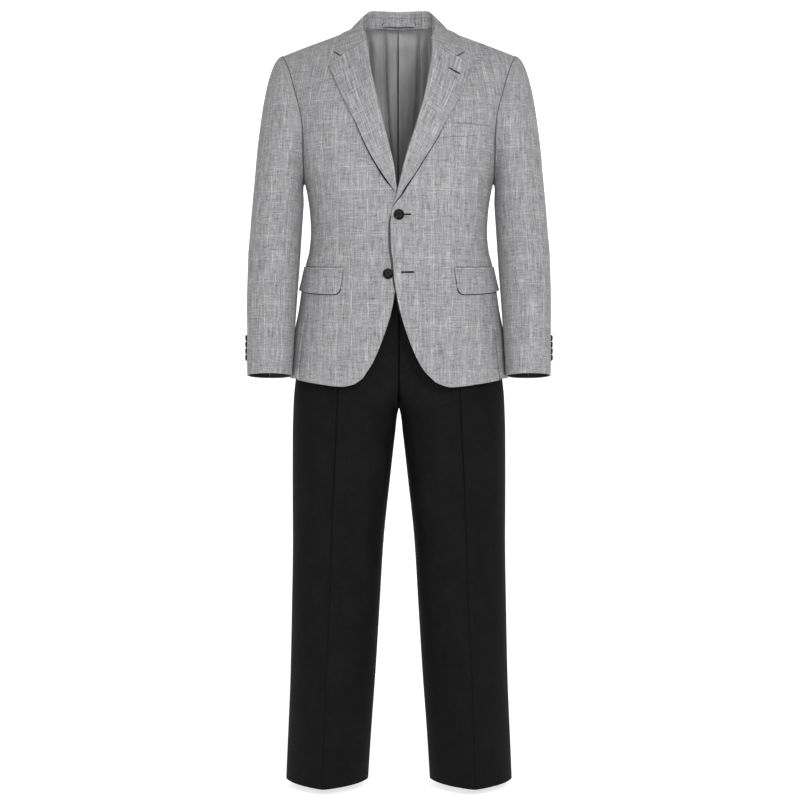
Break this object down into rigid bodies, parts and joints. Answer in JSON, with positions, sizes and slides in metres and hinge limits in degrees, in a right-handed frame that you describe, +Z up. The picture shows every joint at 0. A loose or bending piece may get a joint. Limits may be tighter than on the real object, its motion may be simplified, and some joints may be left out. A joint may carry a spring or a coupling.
{
  "type": "two-piece suit, filled out",
  "caption": "Two-piece suit for formal wear: a single-breasted notch-lapel jacket over straight dark trousers, shown filled out as if worn.",
  "frame": {"origin": "between the wearer's shoulders at the root of the neck, where the wearer holds the jacket up", "axes": "+Z up along the wearer's back, -Y the way the front faces, +X towards the wearer's left"},
  "size_m": [0.5926, 0.2562, 1.5099],
  "materials": {
    "jacket": "light grey melange wool with a faint check, matt",
    "lining": "grey satin lining",
    "trousers": "black wool, matt, with pressed creases",
    "button": "dark horn-like plastic"
  },
  "bodies": {
    "root": {"jacket_front_left": "jacket", "jacket_front_right": "jacket", "jacket_side_left": "jacket", "jacket_side_right": "jacket", "jacket_back_left": "jacket", "jacket_back_right": "jacket", "top_sleeve_left": "jacket", "top_sleeve_right": "jacket", "under_sleeve_left": "jacket", "under_sleeve_right": "jacket", "lapel_left": "jacket", "lapel_right": "jacket", "collar_fall": "jacket", "collar_stand": "jacket", "pocket_flap_left": "jacket", "pocket_flap_right": "jacket", "pocket_jet_left": "jacket", "pocket_jet_right": "jacket", "breast_welt": "jacket", "hanger_loop": "jacket", "back_lining": "lining", "front_button_top": "button", "front_button_low": "button", "cuff_button_left_1": "button", "cuff_button_left_2": "button", "cuff_button_left_3": "button", "cuff_button_left_4": "button", "cuff_button_right_1": "button", "cuff_button_right_2": "button", "cuff_button_right_3": "button", "cuff_button_right_4": "button", "trouser_front_left": "trousers", "trouser_front_right": "trousers", "trouser_back_left": "trousers", "trouser_back_right": "trousers", "waistband": "trousers"}
  },
  "joints": []
}
